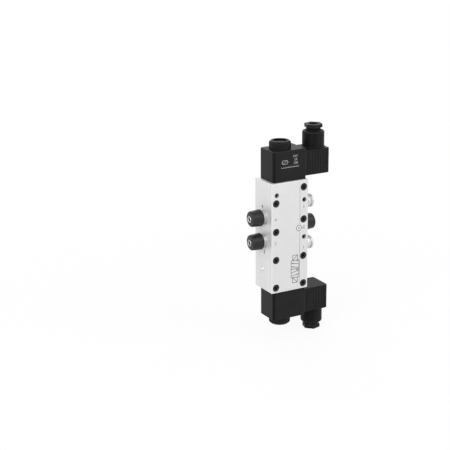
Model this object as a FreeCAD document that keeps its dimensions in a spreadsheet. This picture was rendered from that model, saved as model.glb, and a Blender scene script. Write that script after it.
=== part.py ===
# Five-way solenoid valve with a coil on each end, in millimetres.
# Frame: origin at the middle of the back face, +X right, +Y out of the back, +Z up.
import FreeCAD, Part
import os
import Sketcher

os.makedirs("parts", exist_ok=True)

doc = FreeCAD.newDocument("SolenoidValve")
sheet = doc.addObject("Spreadsheet::Sheet", "Sizes")

driving = {
    # Aluminium block and its front plate
    "bodyWidth": 34.0,
    "bodyDepth": 26.6,
    "plateThickness": 5.6,
    "edgeBreak": 0.4,
    "axisLeft": 1.7,
    # Plate screws, plugs and gasket; each inset is taken from the nearest side or end
    "screwInset": 4.15,
    "screwBottom": 4.5,
    "leftTopInset": 16.4,
    "rightTopInset": 5.8,
    "rightMiddleInset": 32.7,
    "screwRadius": 1.45,
    "screwHeadRadius": 2.75,
    "screwHeadHeight": 3.0,
    "screwHeadSunk": 0.45,
    "screwShank": 6.0,
    "screwSocket": 1.45,
    "screwHeadRoom": 0.4,
    "threadGap": 0.05,
    "plugRadius": 2.0,
    "plugLength": 2.4,
    "plugSunk": 1.2,
    "plugSocket": 1.1,
    "plugInsetLeft": 4.7,
    "plugInsetRight": 3.6,
    "plugLeftDown": 9.7,
    "plugHighDown": 16.5,
    "plugLowDown": 47.7,
    "gasketThickness": 0.8,
    "gasketBorder": 1.1,
    "gasketGap": 0.1,
    "channelOffset": 5.7,
    "channelRadius": 0.8,
    "channelDepth": 1.0,
    "ballRadius": 2.0,
    "ballHeight": 17.3,
    "ballDepth": 10.9,
    "ballProud": 0.9,
    # Ports
    "portStep": 9.9,
    "exhaustStep": 17.9,
    "portRadius": 4.8,
    "portWall": 2.3,
    "portDrill": 2.3,
    # Holes in the back that fix the valve
    "mountRadius": 1.65,
    "mountDepth": 7.0,
    "mountSpanX": 24.0,
    "mountSpanZ": 70.0,
    # Spool and what it runs in
    "boreStep": 0.5,
    "runGap": 0.05,
    "spoolRadius": 3.0,
    "waistRadius": 1.8,
    "spoolStroke": 5.0,
    "waistInset": 0.25,
    "waistReach": 0.3,
    "sealWidth": 1.8,
    "endSealGap": 3.0,
    "cageClear": 0.4,
    "cageGroove": 0.5,
    "cageHole": 1.1,
    "cageHoleBorder": 0.4,
    "pistonLength": 4.0,
    "pistonGap": 0.6,
    "pistonStop": 0.55,
    "spacerLength": 12.1,
    "spigotRadius": 1.5,
    "spigotLength": 2.5,
    "ringWidth": 1.6,
    "ringDepth": 1.3,
    # Armature tube, seat and plunger
    "flangeRadius": 6.7,
    "baseStep": 0.7,
    "baseDepth": 8.0,
    "flangeWall": 1.0,
    "flangeHeight": 2.0,
    "recessGap": 0.25,
    "tubeRadius": 4.5,
    "tubeStud": 4.0,
    "studLength": 4.4,
    "tubeBore": 3.58,
    "coreHeight": 15.0,
    "seatThickness": 2.6,
    "nozzleRadius": 1.0,
    "nozzleHeight": 0.9,
    "nozzleBore": 0.5,
    "plungerRadius": 3.5,
    "plungerLift": 1.4,
    "plungerGap": 0.05,
    "plungerChamfer": 0.4,
    "springPocket": 2.3,
    "springPocketDepth": 6.0,
    "springRadius": 1.75,
    "springWire": 0.28,
    "springPitch": 1.75,
    "ringSection": 0.9,
    # Coil
    "coilHeight": 25.0,
    "coilLeft": 12.3,
    "coilRight": 17.4,
    "coilHalfDepth": 11.0,
    "coilCorner": 2.3,
    "coilEdge": 0.5,
    "coilBore": 4.6,
    "windingRadius": 9.1,
    "windingEnd": 3.0,
    "bladeThickness": 0.8,
    "bladeWidth": 4.0,
    "bladeLength": 6.5,
    "bladeRoot": 2.5,
    "bladeSpread": 5.0,
    # Coil nut
    "nutRadius": 8.85,
    "nutHeight": 6.55,
    "nutChamfer": 1.3,
    "nutSocket": 5.8,
    "nutSocketDepth": 1.3,
    "fluteRadius": 0.8,
    "fluteCount": 18,
    "fluteFoot": 0.9,
    # Connector
    "connectorRise": 2.35,
    "connectorHeight": 20.55,
    "connectorEnd": 40.4,
    "connectorCorner": 2.3,
    "padThickness": 0.6,
    "padBorder": 0.2,
    "housingWall": 2.2,
    "housingEndWall": 4.0,
    "gripDepth": 0.25,
    "gripWidth": 1.5,
    "gripPitch": 2.6,
    "gripStart": 2.4,
    "gripBorder": 2.0,
    "insertLength": 8.5,
    "insertGap": 0.15,
    "neckX": 31.3,
    "neckRadius": 9.0,
    "neckHeight": 13.4,
    "neckFoot": 0.8,
    "neckFootChamfer": 0.32,
    "neckRound": 1.5,
    "neckBore": 6.6,
    "neckBoreDepth": 9.5,
    "cableWay": 4.4,
    "grommetRadius": 6.5,
    "grommetHeight": 5.6,
    "cableRadius": 3.1,
    "glandThread": 5.6,
    "glandThreadLength": 3.4,
    "glandWaist": 1.1,
    "glandFlare": 1.5,
    "glandHead": 2.75,
    "glandFlat": 6.5,
    "glandBore": 4.1,
    "fixingRadius": 1.45,
    "fixingHead": 2.7,
    "fixingHeadHeight": 2.0,
    "fixingSunk": 1.0,
    "fixingReach": 3.0,
    "fixingSlot": 0.8,
    # Push-in fittings
    "stemThread": 4.75,
    "stemThreadGap": 1.0,
    "stemCollar": 5.8,
    "stemCollarHeight": 2.6,
    "stemSpigot": 4.0,
    "stemOverlap": 0.5,
    "stemSpigotLength": 4.5,
    "stemWay": 1.1,
    "tubeSocket": 1.55,
    "tubeSocketDepth": 7.0,
    "sealSeat": 3.0,
    "sealSeatDepth": 2.4,
    "shellRadius": 6.35,
    "shellFlange": 6.9,
    "shellFlangeWidth": 1.3,
    "shellFoot": 0.9,
    "shellLength": 9.8,
    "shellRound": 1.4,
    "collarRadius": 2.75,
    "collarGap": 0.06,
    "collarProud": 0.9,
    "collarTravel": 0.8,
    "collarLip": 0.3,
    # Exhaust silencers
    "silencerRadius": 5.5,
    "silencerLength": 11.2,
    "silencerCollar": 7.7,
    "silencerGroove": 0.45,
    "silencerGrooveWidth": 1.2,
    "silencerChamfer": 0.9,
    "silencerWay": 2.6,
    "discRadius": 4.2,
    "discThickness": 2.2,
    "discSunk": 0.8,
    # Room left between neighbours: seated, face to face, at a hole's end and round a screw
    "seatGap": 0.02,
    "discGap": 0.03,
    "faceGap": 0.05,
    "endGap": 0.1,
    "screwRoom": 0.15,
    "looseRoom": 0.2,
    "plugRoom": 0.2,
    "studRoom": 0.2,
    "fixingHeadRoom": 0.25,
    "fixingEndRoom": 0.4,
    "screwEndRoom": 0.4,
}

for row, (alias, value) in enumerate(driving.items(), 1):
    sheet.set("A%d" % row, alias)
    sheet.set("B%d" % row, str(value))
    sheet.setAlias("B%d" % row, alias)
doc.recompute()


# A length worked out from the sheet: its number now, and the formula that keeps it bound.
class Length:
    def __init__(self, value, text):
        self.value = value
        self.text = text

    def join(self, sign, other, value):
        right = other.text if isinstance(other, Length) else repr(float(other))
        return Length(value, "(%s %s %s)" % (self.text, sign, right))

    def __add__(self, other):
        return self.join("+", other, self.value + number(other))

    def __sub__(self, other):
        return self.join("-", other, self.value - number(other))

    def __mul__(self, other):
        return self.join("*", other, self.value * number(other))

    def __truediv__(self, other):
        return self.join("/", other, self.value / number(other))

    def __neg__(self):
        return Length(-self.value, "(0 - %s)" % self.text)

    def __radd__(self, other):
        return self + other

    def __rsub__(self, other):
        return -self + other


# Number of a length or of a plain value.
def number(length):
    return length.value if isinstance(length, Length) else float(length)


# All driving sizes as lengths, each under its own name.
class Sizes:
    def __init__(self):
        for name in driving:
            setattr(self, name, Length(float(sheet.get(name)), "Sizes.%s" % name))


size = Sizes()
named = {}
zero = 0.0
fullTurn = 360.0
half = 2.0
clearCut = 60.0
overcut = 1.0
near = 1e-4
rightTurn = FreeCAD.Rotation(FreeCAD.Vector(0, 1, 0), 90)
leftTurn = FreeCAD.Rotation(FreeCAD.Vector(0, 1, 0), -90)
frontTurn = FreeCAD.Rotation(FreeCAD.Vector(1, 0, 0), 90)
backTurn = FreeCAD.Rotation(FreeCAD.Vector(1, 0, 0), -90)
downTurn = FreeCAD.Rotation(FreeCAD.Vector(1, 0, 0), 180)
noTurn = FreeCAD.Rotation()


# Sets a property and binds it to the sheet where the length has a formula.
def bind(thing, prop, length):
    if isinstance(length, Length):
        thing.setExpression(prop, length.text)


# Puts a piece at x, y, z after an optional turn.
def place(thing, x, y, z, turn=noTurn):
    thing.Placement = FreeCAD.Placement(FreeCAD.Vector(number(x), number(y), number(z)), turn)
    for axis, length in (("x", x), ("y", y), ("z", z)):
        bind(thing, "Placement.Base.%s" % axis, length)


# Marks an object as a finished piece; its name names its file.
def finish(name, thing):
    thing.Label = name
    named[name] = thing
    return thing


def newBody(name):
    return doc.addObject("PartDesign::Body", name + "_body")


# A sketch on one of the body's own planes, moved along its normal.
def newSketch(body, role, offset=zero):
    sketch = body.newObject("Sketcher::SketchObject", "Sketch")
    plane = [item for item in body.Origin.OriginFeatures if item.Role == role][0]
    sketch.AttachmentSupport = [(plane, "")]
    sketch.MapMode = "FlatFace"
    sketch.AttachmentOffset = FreeCAD.Placement(FreeCAD.Vector(0, 0, number(offset)), noTurn)
    bind(sketch, "AttachmentOffset.Base.z", offset)
    return sketch


def fixDistance(sketch, kind, item, point, length):
    made = sketch.addConstraint(Sketcher.Constraint(kind, -1, 1, item, point, number(length)))
    if isinstance(length, Length):
        sketch.setExpression("Constraints[%d]" % made, length.text)


# Closed outline with straight sides through the given corners.
def drawOutline(sketch, corners):
    first = sketch.GeometryCount
    count = len(corners)
    spots = [FreeCAD.Vector(number(x), number(y), 0) for x, y in corners]
    for i in range(count):
        sketch.addGeometry(Part.LineSegment(spots[i], spots[(i + 1) % count]), False)
    for i in range(count):
        sketch.addConstraint(Sketcher.Constraint("Coincident", first + i, 2, first + (i + 1) % count, 1))
    for i, (x, y) in enumerate(corners):
        fixDistance(sketch, "DistanceX", first + i, 1, x)
        fixDistance(sketch, "DistanceY", first + i, 1, y)


def drawRectangle(sketch, x0, x1, y0, y1):
    drawOutline(sketch, [(x0, y0), (x1, y0), (x1, y1), (x0, y1)])


def drawCircle(sketch, x, y, radius):
    centre = FreeCAD.Vector(number(x), number(y), 0)
    circle = Part.Circle(centre, FreeCAD.Vector(0, 0, 1), number(radius))
    item = sketch.addGeometry(circle, False)
    fixDistance(sketch, "DistanceX", item, 3, x)
    fixDistance(sketch, "DistanceY", item, 3, y)
    made = sketch.addConstraint(Sketcher.Constraint("Radius", item, number(radius)))
    if isinstance(radius, Length):
        sketch.setExpression("Constraints[%d]" % made, radius.text)


# Regular hexagon with flats at the given distance, a flat facing sketch right.
def drawHexagon(sketch, flat):
    corner = flat / (3 ** 0.5)
    drawOutline(sketch, [(flat, -corner), (flat, corner), (zero, corner * 2), (-flat, corner),
                         (-flat, -corner), (zero, -(corner * 2))])


def pad(body, sketch, length, reverse=False):
    feature = body.newObject("PartDesign::Pad", "Pad")
    feature.Profile = sketch
    feature.Length = number(length)
    feature.Reversed = reverse
    bind(feature, "Length", length)
    doc.recompute()
    return feature


# Cuts a sketch into the body, and makes sure that it removed something.
def pocket(body, sketch, depth, reverse=False, bothWays=False):
    before = body.Shape.Volume
    feature = body.newObject("PartDesign::Pocket", "Pocket")
    feature.Profile = sketch
    feature.Length = number(depth)
    feature.Reversed = reverse
    feature.Midplane = bothWays
    bind(feature, "Length", depth)
    doc.recompute()
    if body.Shape.Volume > before - near:
        raise RuntimeError("A cut in %s removed nothing" % body.Name)
    return feature


# Round holes of one radius and depth, sunk from a plane of the body.
def drill(body, role, offset, spots, radius, depth, reverse=False, bothWays=False):
    sketch = newSketch(body, role, offset)
    for x, y in spots:
        drawCircle(sketch, x, y, radius)
    return pocket(body, sketch, depth, reverse, bothWays)


# Rounds or chamfers the edges that a test picks out.
def breakEdges(body, kind, amount, picked):
    names = ["Edge%d" % (i + 1) for i, edge in enumerate(body.Shape.Edges) if picked(edge)]
    base = body.Tip
    feature = body.newObject("PartDesign::%s" % kind, kind)
    feature.Base = (base, names)
    prop = "Radius" if kind == "Fillet" else "Size"
    setattr(feature, prop, number(amount))
    bind(feature, prop, amount)
    body.Tip = feature
    doc.recompute()
    return feature


def isUpright(edge):
    return len(edge.Vertexes) == 2 and abs(edge.tangentAt(edge.FirstParameter).z) > 0.999


def liesAt(edge, axis, length):
    return all(abs(getattr(v.Point, axis) - number(length)) < near for v in edge.Vertexes)


# Block between two corners, padded upwards.
def makeBlock(body, x0, x1, y0, y1, z0, z1):
    sketch = newSketch(body, "XY_Plane", z0)
    drawRectangle(sketch, x0, x1, y0, y1)
    return pad(body, sketch, z1 - z0)


# Turned piece: corners give radius and height, spun about the upright axis.
def makeTurned(body, corners):
    sketch = newSketch(body, "XZ_Plane")
    drawOutline(sketch, corners)
    feature = body.newObject("PartDesign::Revolution", "Revolution")
    feature.Profile = sketch
    feature.ReferenceAxis = (sketch, ["V_Axis"])
    feature.Angle = fullTurn
    doc.recompute()
    return feature


def turnedPiece(name, corners):
    body = newBody(name)
    makeTurned(body, corners)
    return finish(name, body)


# Ring between two radii and two heights.
def ringCorners(inner, outer, low, high):
    return [(inner, low), (outer, low), (outer, high), (inner, high)]


def addPrimitive(kind, name, sizes, x, y, z, turn=noTurn):
    thing = doc.addObject("Part::%s" % kind, name)
    for prop, length in sizes.items():
        setattr(thing, prop, number(length))
        bind(thing, prop, length)
    place(thing, x, y, z, turn)
    return thing


def together(name, pieces):
    group = doc.addObject("Part::Compound", name + "_group")
    group.Links = pieces
    return finish(name, group)


# Heights and places that several pieces share.
left = -(size.bodyWidth / half)
right = size.bodyWidth / half
sealNear = size.portStep / half
sealFar = (size.portStep + size.exhaustStep) / half
sealEnd = size.exhaustStep + size.endSealGap
halfSeal = size.sealWidth / half
pistonRoom = size.pistonStop + size.pistonLength + size.spoolStroke + size.pistonGap
bodyHeight = (size.baseDepth + pistonRoom + halfSeal + sealEnd) * 2 + size.spacerLength
top = bodyHeight / half
bottom = -top
front = -size.bodyDepth
joint = size.plateThickness - size.bodyDepth
axisX = -size.axisLeft
axisY = joint + size.flangeRadius + size.flangeWall
portOne = top - size.baseDepth - pistonRoom - halfSeal - sealEnd
portFour = portOne + size.portStep
portTwo = portOne - size.portStep
portFive = portOne + size.exhaustStep
portThree = portOne - size.exhaustStep
upperPistonLow = portOne + sealEnd + halfSeal + size.pistonGap
baseRadius = size.flangeRadius - size.baseStep
spoolBore = baseRadius - size.boreStep
boreInner = spoolBore - size.runGap
portDepth = right + axisX - spoolBore - size.portWall
threadLength = portDepth - size.stemThreadGap
screwX = right - size.screwInset
screwPitch = (bodyHeight - size.screwBottom - size.leftTopInset) / 3
screwSpots = [(-screwX, bottom + size.screwBottom + screwPitch * i) for i in range(4)]
screwSpots += [(screwX, level) for level in
               (bottom + size.screwBottom, bottom + size.screwBottom + screwPitch,
                top - size.rightMiddleInset, top - size.rightTopInset)]
plugSpots = [(left + size.plugInsetLeft, top - size.plugLeftDown),
             (right - size.plugInsetRight, top - size.plugHighDown),
             (right - size.plugInsetRight, top - size.plugLowDown)]
channelX = axisX + size.channelOffset
channelEnd = top - size.baseDepth / half - size.channelRadius
plugSpan = size.plugSunk + size.plugLength + size.plugRoom


# Block behind the front plate: spool bore, five ports and the pilot air drillings.
def makeBody():
    body = newBody("valve_body")
    makeBlock(body, left, right, joint, zero, bottom, top)
    breakEdges(body, "Chamfer", size.edgeBreak, lambda edge: not liesAt(edge, "y", joint)
               and (liesAt(edge, "y", zero) or liesAt(edge, "z", top) or liesAt(edge, "z", bottom)))
    centre = [(axisX, axisY)]
    recess = size.flangeRadius + size.recessGap
    for level, reverse in ((top, False), (bottom, True)):
        drill(body, "XY_Plane", level, centre, recess, size.flangeHeight + size.endGap, reverse)
        drill(body, "XY_Plane", level, centre, baseRadius + size.threadGap, size.baseDepth, reverse)
    drill(body, "XY_Plane", zero, centre, spoolBore, bodyHeight + clearCut, False, True)
    leftPorts = [(axisY, portFour), (axisY, portTwo)]
    rightPorts = [(axisY, portFive), (axisY, portOne), (axisY, portThree)]
    drill(body, "YZ_Plane", left, leftPorts, size.portRadius, portDepth, True)
    drill(body, "YZ_Plane", left, leftPorts, size.portDrill, right + axisX, True)
    drill(body, "YZ_Plane", right, rightPorts, size.portRadius, portDepth)
    drill(body, "YZ_Plane", right, rightPorts, size.portDrill, right - axisX)
    screwEnd = size.screwHeadSunk + size.screwHeadHeight + size.screwShank - size.plateThickness
    drill(body, "XZ_Plane", -joint, screwSpots, size.screwRadius + size.threadGap,
          screwEnd + size.screwEndRoom)
    pilotSpots = [(channelX, portOne), (channelX, channelEnd), (channelX, -channelEnd)]
    drill(body, "XZ_Plane", -joint, pilotSpots, size.channelRadius, axisY - joint)
    mountSpots = [(size.mountSpanX / half * i, size.mountSpanZ / half * k) for i in (-1, 1) for k in (-1, 1)]
    drill(body, "XZ_Plane", zero, mountSpots, size.mountRadius, size.mountDepth, True)
    ballSpot = [(-size.ballDepth, size.ballHeight + bottom)]
    drill(body, "YZ_Plane", left, ballSpot, size.ballRadius + size.seatGap,
          size.ballRadius * 2 - size.ballProud, True)
    drill(body, "YZ_Plane", left, ballSpot, size.channelRadius, right + axisX, True)
    finish("valve_body", body)


# Plate over the pilot air channel, with counterbored screws and plugged drillings.
def makePlate():
    body = newBody("front_plate")
    makeBlock(body, left, right, front, joint, bottom, top)
    breakEdges(body, "Chamfer", size.edgeBreak, lambda edge: not liesAt(edge, "y", joint)
               and (liesAt(edge, "y", front) or liesAt(edge, "z", top) or liesAt(edge, "z", bottom)))
    through = size.plateThickness + overcut
    drill(body, "XZ_Plane", size.bodyDepth, screwSpots, size.screwHeadRadius + size.screwHeadRoom,
          size.screwHeadSunk + size.screwHeadHeight)
    drill(body, "XZ_Plane", size.bodyDepth, screwSpots, size.screwRadius + size.screwRoom, through)
    drill(body, "XZ_Plane", size.bodyDepth, plugSpots, size.plugRadius + size.threadGap, plugSpan)
    drill(body, "XZ_Plane", size.bodyDepth, plugSpots, size.channelRadius, through)
    recess = newSketch(body, "XZ_Plane", -joint)
    drawRectangle(recess, left + size.gasketBorder, right - size.gasketBorder,
                  bottom + size.gasketBorder, top - size.gasketBorder)
    pocket(body, recess, size.gasketThickness, True)
    channel = newSketch(body, "XZ_Plane", -joint)
    drawRectangle(channel, channelX - size.channelRadius, channelX + size.channelRadius,
                  -channelEnd, channelEnd)
    pocket(body, channel, size.gasketThickness + size.channelDepth, True)
    finish("front_plate", body)


# Flat gasket in the plate's recess, open at the screws and the pilot drillings.
def makeGasket():
    body = newBody("plate_gasket")
    border = size.gasketBorder + size.gasketGap
    sheetSketch = newSketch(body, "XZ_Plane", -joint)
    drawRectangle(sheetSketch, left + border, right - border, bottom + border, top - border)
    pad(body, sheetSketch, size.gasketThickness)
    through = size.gasketThickness + overcut
    drill(body, "XZ_Plane", -joint, screwSpots, size.screwRadius + size.looseRoom, through, True)
    pilotSpots = [(channelX, portOne), (channelX, channelEnd), (channelX, -channelEnd)]
    drill(body, "XZ_Plane", -joint, pilotSpots, size.channelRadius, through, True)
    finish("plate_gasket", body)


# Socket-head cap screw, head sunk in the plate.
def capScrew(index, x, z):
    seat = front + size.screwHeadSunk
    headSize = {"Radius": size.screwHeadRadius, "Height": size.screwHeadHeight}
    shankSize = {"Radius": size.screwRadius, "Height": size.screwHeadHeight + size.screwShank}
    head = addPrimitive("Cylinder", "ScrewHead%d" % index, headSize, x, seat, z, backTurn)
    shank = addPrimitive("Cylinder", "ScrewShank%d" % index, shankSize, x, seat, z, backTurn)
    solid = doc.addObject("Part::Fuse", "ScrewSolid%d" % index)
    solid.Base = head
    solid.Tool = shank
    socket = addPrimitive("Prism", "ScrewSocket%d" % index,
                          {"Circumradius": size.screwSocket, "Height": size.screwHeadHeight / half},
                          x, seat, z, backTurn)
    screw = doc.addObject("Part::Cut", "Screw%d" % index)
    screw.Base = solid
    screw.Tool = socket
    return screw


# Headless plug with a hexagon socket, sunk in its threaded hole.
def setScrew(index, x, z):
    seat = front + size.plugSunk
    solid = addPrimitive("Cylinder", "PlugSolid%d" % index,
                         {"Radius": size.plugRadius, "Height": size.plugLength}, x, seat, z, backTurn)
    socket = addPrimitive("Prism", "PlugSocket%d" % index,
                          {"Circumradius": size.plugSocket, "Height": size.plugLength / half},
                          x, seat, z, backTurn)
    plug = doc.addObject("Part::Cut", "Plug%d" % index)
    plug.Base = solid
    plug.Tool = socket
    return plug


def makeFasteners():
    together("plate_screws", [capScrew(i, x, z) for i, (x, z) in enumerate(screwSpots)])
    together("pilot_plugs", [setScrew(i, x, z) for i, (x, z) in enumerate(plugSpots)])
    ball = addPrimitive("Sphere", "Ball", {"Radius": size.ballRadius},
                        left + size.ballRadius - size.ballProud, -size.ballDepth, size.ballHeight + bottom)
    finish("channel_ball", ball)


spoolMiddle = portOne - size.spoolStroke / half
lowerPistonLow = bottom + size.baseDepth + size.pistonStop
lowerPistonHigh = lowerPistonLow + size.pistonLength


def onSpoolAxis(thing):
    place(thing, axisX, axisY, zero)
    return thing


# Spool with two waists, at rest at the lower end of its stroke.
def makeSpool():
    near = size.portStep / half - size.waistInset
    far = sealFar + size.waistReach
    land = size.spoolRadius
    waist = size.waistRadius
    spigotLow = lowerPistonHigh - size.spigotLength
    corners = [(zero, spigotLow), (size.spigotRadius, spigotLow),
               (size.spigotRadius, lowerPistonHigh), (land, lowerPistonHigh)]
    for low, high in ((-far, -near), (near, far)):
        corners += [(land, spoolMiddle + low), (waist, spoolMiddle + low),
                    (waist, spoolMiddle + high), (land, spoolMiddle + high)]
    corners += [(land, upperPistonLow), (size.spigotRadius, upperPistonLow),
                (size.spigotRadius, upperPistonLow + size.spigotLength),
                (zero, upperPistonLow + size.spigotLength)]
    onSpoolAxis(turnedPiece("spool", corners))


# Pilot piston with a groove for its seal; spoolSide is 1 where the spool lies above it.
def makePiston(name, low, spoolSide):
    high = low + size.pistonLength
    middle = low + size.pistonLength / half
    halfRing = size.ringWidth / half
    groove = boreInner - size.ringDepth
    hole = size.spigotRadius + size.seatGap
    body = newBody(name)
    makeTurned(body, [(zero, low), (boreInner, low),
                      (boreInner, middle - halfRing), (groove, middle - halfRing),
                      (groove, middle + halfRing), (boreInner, middle + halfRing),
                      (boreInner, high), (zero, high)])
    if spoolSide > 0:
        drill(body, "XY_Plane", high, [(zero, zero)], hole, size.spigotLength + size.endGap)
    else:
        drill(body, "XY_Plane", low, [(zero, zero)], hole, size.spigotLength + size.endGap, True)
    onSpoolAxis(finish(name, body))


def makePistonSeals():
    halfRing = size.ringWidth / half - size.faceGap
    rings = []
    for i, low in enumerate((lowerPistonLow, upperPistonLow)):
        middle = low + size.pistonLength / half
        body = newBody("pistonRing%d" % i)
        makeTurned(body, ringCorners(boreInner - size.ringDepth + size.seatGap, spoolBore - size.seatGap,
                                     middle - halfRing, middle + halfRing))
        rings.append(onSpoolAxis(body))
    together("piston_seals", rings)


# Six seal rings that the spool slides through.
def makeSpoolSeals():
    rings = []
    for i, level in enumerate((-sealEnd, -sealFar, -sealNear, sealNear, sealFar, sealEnd)):
        body = newBody("spoolRing%d" % i)
        makeTurned(body, ringCorners(size.spoolRadius + size.runGap, boreInner,
                                     portOne + level - halfSeal, portOne + level + halfSeal))
        breakEdges(body, "Fillet", size.sealWidth / 6, lambda edge: True)
        rings.append(onSpoolAxis(body))
    together("spool_seals", rings)


# Cage between two seals, drilled so that a port reaches the spool.
def makeCage(name, low, high, level):
    body = newBody(name)
    inner = size.spoolRadius + size.cageClear
    groove = spoolBore - size.runGap - size.cageGroove
    reach = size.cageHole + size.cageHoleBorder
    makeTurned(body, [(inner, low), (boreInner, low), (boreInner, level - reach), (groove, level - reach),
                      (groove, level + reach), (boreInner, level + reach), (boreInner, high), (inner, high)])
    for role in ("XZ_Plane", "YZ_Plane"):
        drill(body, role, zero, [(zero, level)], size.cageHole, clearCut, False, True)
    onSpoolAxis(finish(name, body))


def makeCages():
    makeCage("port_5_cage", portOne + sealFar + halfSeal, portOne + sealEnd - halfSeal, portFive)
    makeCage("port_4_cage", portOne + sealNear + halfSeal, portOne + sealFar - halfSeal, portFour)
    makeCage("port_1_cage", portOne - sealNear + halfSeal, portOne + sealNear - halfSeal, portOne)
    makeCage("port_2_cage", portOne - sealFar + halfSeal, portOne - sealNear - halfSeal, portTwo)
    makeCage("port_3_cage", portOne - sealEnd + halfSeal, portOne - sealFar - halfSeal, portThree)
    sleeveLow = lowerPistonHigh + size.spoolStroke + size.pistonGap
    sleeve = turnedPiece("spacer_sleeve", ringCorners(size.spoolRadius + size.cageClear, boreInner,
                                                      sleeveLow, portOne - sealEnd - halfSeal))
    onSpoolAxis(sleeve)


# Puts a solenoid or connector piece on its end of the body; its own frame starts at the end face.
def onEnd(thing, end):
    if end == "upper":
        place(thing, axisX, axisY, top)
    else:
        place(thing, axisX, axisY, bottom, downTurn)
    return thing


seatLow = -size.baseDepth
seatHigh = seatLow + size.seatThickness
nozzleTop = seatHigh + size.nozzleHeight
plungerLow = nozzleTop + size.plungerGap
plungerHigh = size.coreHeight - size.plungerLift
springLow = plungerHigh - size.springPocketDepth


# Tube that screws into the body's end and carries the coil, closed by its fixed core.
def makeTube(end):
    flangeLow = -size.flangeHeight
    flangeHigh = -size.faceGap
    stud = size.coilHeight + size.studLength
    ringLow = flangeLow - size.ringSection
    ringSeat = baseRadius - size.ringSection
    corners = [(size.tubeBore, seatLow), (baseRadius, seatLow), (baseRadius, ringLow),
               (ringSeat, ringLow), (ringSeat, flangeLow),
               (size.flangeRadius, flangeLow), (size.flangeRadius, flangeHigh), (size.tubeRadius, flangeHigh),
               (size.tubeRadius, size.coilHeight), (size.tubeStud, size.coilHeight), (size.tubeStud, stud),
               (zero, stud), (zero, size.coreHeight), (size.tubeBore, size.coreHeight)]
    onEnd(turnedPiece(end + "_armature_tube", corners), end)


# Valve seat with a fine nozzle, pressed into the tube's open end.
def makeSeat(end):
    rim = size.tubeBore - size.seatGap
    corners = [(size.nozzleBore, seatLow), (rim, seatLow), (rim, seatHigh),
               (size.nozzleRadius * 2, seatHigh), (size.nozzleRadius, nozzleTop),
               (size.nozzleBore, nozzleTop)]
    onEnd(turnedPiece(end + "_pilot_seat", corners), end)


def makePlunger(end):
    body = newBody(end + "_plunger")
    makeTurned(body, [(zero, plungerLow), (size.plungerRadius - size.plungerChamfer, plungerLow),
                      (size.plungerRadius, plungerLow + size.plungerChamfer),
                      (size.plungerRadius, plungerHigh), (zero, plungerHigh)])
    drill(body, "XY_Plane", plungerHigh, [(zero, zero)], size.springPocket, size.springPocketDepth)
    onEnd(finish(end + "_plunger", body), end)


# Compression spring between the plunger's pocket and the fixed core.
def makeSpring(end):
    reach = size.plungerLift + size.springPocketDepth - size.springWire * 2 - size.faceGap * 2
    start = springLow + size.springWire + size.faceGap
    spine = doc.addObject("Part::Helix", end + "_spine")
    for prop, length in (("Pitch", size.springPitch), ("Height", reach), ("Radius", size.springRadius)):
        setattr(spine, prop, number(length))
        bind(spine, prop, length)
    place(spine, zero, zero, start)
    wire = doc.addObject("Part::Circle", end + "_wire")
    wire.Radius = number(size.springWire)
    bind(wire, "Radius", size.springWire)
    place(wire, size.springRadius, zero, start, frontTurn)
    coil = doc.addObject("Part::Sweep", end + "_plunger_spring_sweep")
    coil.Sections = [wire]
    coil.Spine = (spine, ["Edge1"])
    coil.Solid = True
    coil.Frenet = True
    onEnd(finish(end + "_plunger_spring", coil), end)


# Rubber ring under the tube's flange, one at each end.
def makeTubeSeals():
    rings = []
    for end in ("upper", "lower"):
        high = -size.flangeHeight
        body = newBody(end + "TubeRing")
        inner = baseRadius - size.ringSection + size.seatGap
        low = high - size.ringSection + size.seatGap
        makeTurned(body, ringCorners(inner, baseRadius, low, high - size.seatGap))
        rings.append(onEnd(body, end))
    together("tube_seals", rings)


# Moulded coil block with rounded upright edges, hollow for its winding.
def makeCoil(end):
    body = newBody(end + "_coil_housing")
    depth = size.coilHalfDepth
    makeBlock(body, -size.coilLeft, size.coilRight, -depth, depth, zero, size.coilHeight)
    breakEdges(body, "Fillet", size.coilCorner,
               lambda edge: isUpright(edge) and liesAt(edge, "x", -size.coilLeft))
    breakEdges(body, "Fillet", size.coilEdge,
               lambda edge: liesAt(edge, "z", size.coilHeight) and not liesAt(edge, "x", size.coilRight))
    drill(body, "XY_Plane", zero, [(zero, zero)], size.coilBore, size.coilHeight, True)
    sketch = newSketch(body, "XZ_Plane")
    drawRectangle(sketch, size.coilBore / half, size.windingRadius + size.runGap,
                  size.windingEnd, size.coilHeight - size.windingEnd)
    room = body.newObject("PartDesign::Groove", "Groove")
    room.Profile = sketch
    room.ReferenceAxis = (sketch, ["V_Axis"])
    room.Angle = fullTurn
    body.Tip = room
    doc.recompute()
    middle = size.connectorRise + size.connectorHeight / half
    drill(body, "YZ_Plane", size.coilRight, [(zero, middle)], size.fixingRadius + size.threadGap,
          size.fixingReach + size.fixingEndRoom)
    slots = newSketch(body, "YZ_Plane", size.coilRight)
    for x, z, w, t in bladeSpots(middle):
        drawRectangle(slots, x - w / half, x + w / half, z - t / half, z + t / half)
    pocket(body, slots, size.bladeRoot)
    onEnd(finish(end + "_coil_housing", body), end)
    winding = turnedPiece(end + "_coil_winding",
                          ringCorners(size.coilBore + size.runGap, size.windingRadius,
                                      size.windingEnd + size.faceGap,
                                      size.coilHeight - size.windingEnd - size.faceGap))
    onEnd(winding, end)


# Two flat blades and the earth blade across them: centre, width and thickness of each.
def bladeSpots(middle):
    spread = size.bladeSpread
    return [(-spread, middle, size.bladeThickness, size.bladeWidth),
            (spread, middle, size.bladeThickness, size.bladeWidth),
            (zero, middle - spread, size.bladeWidth, size.bladeThickness)]


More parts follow.
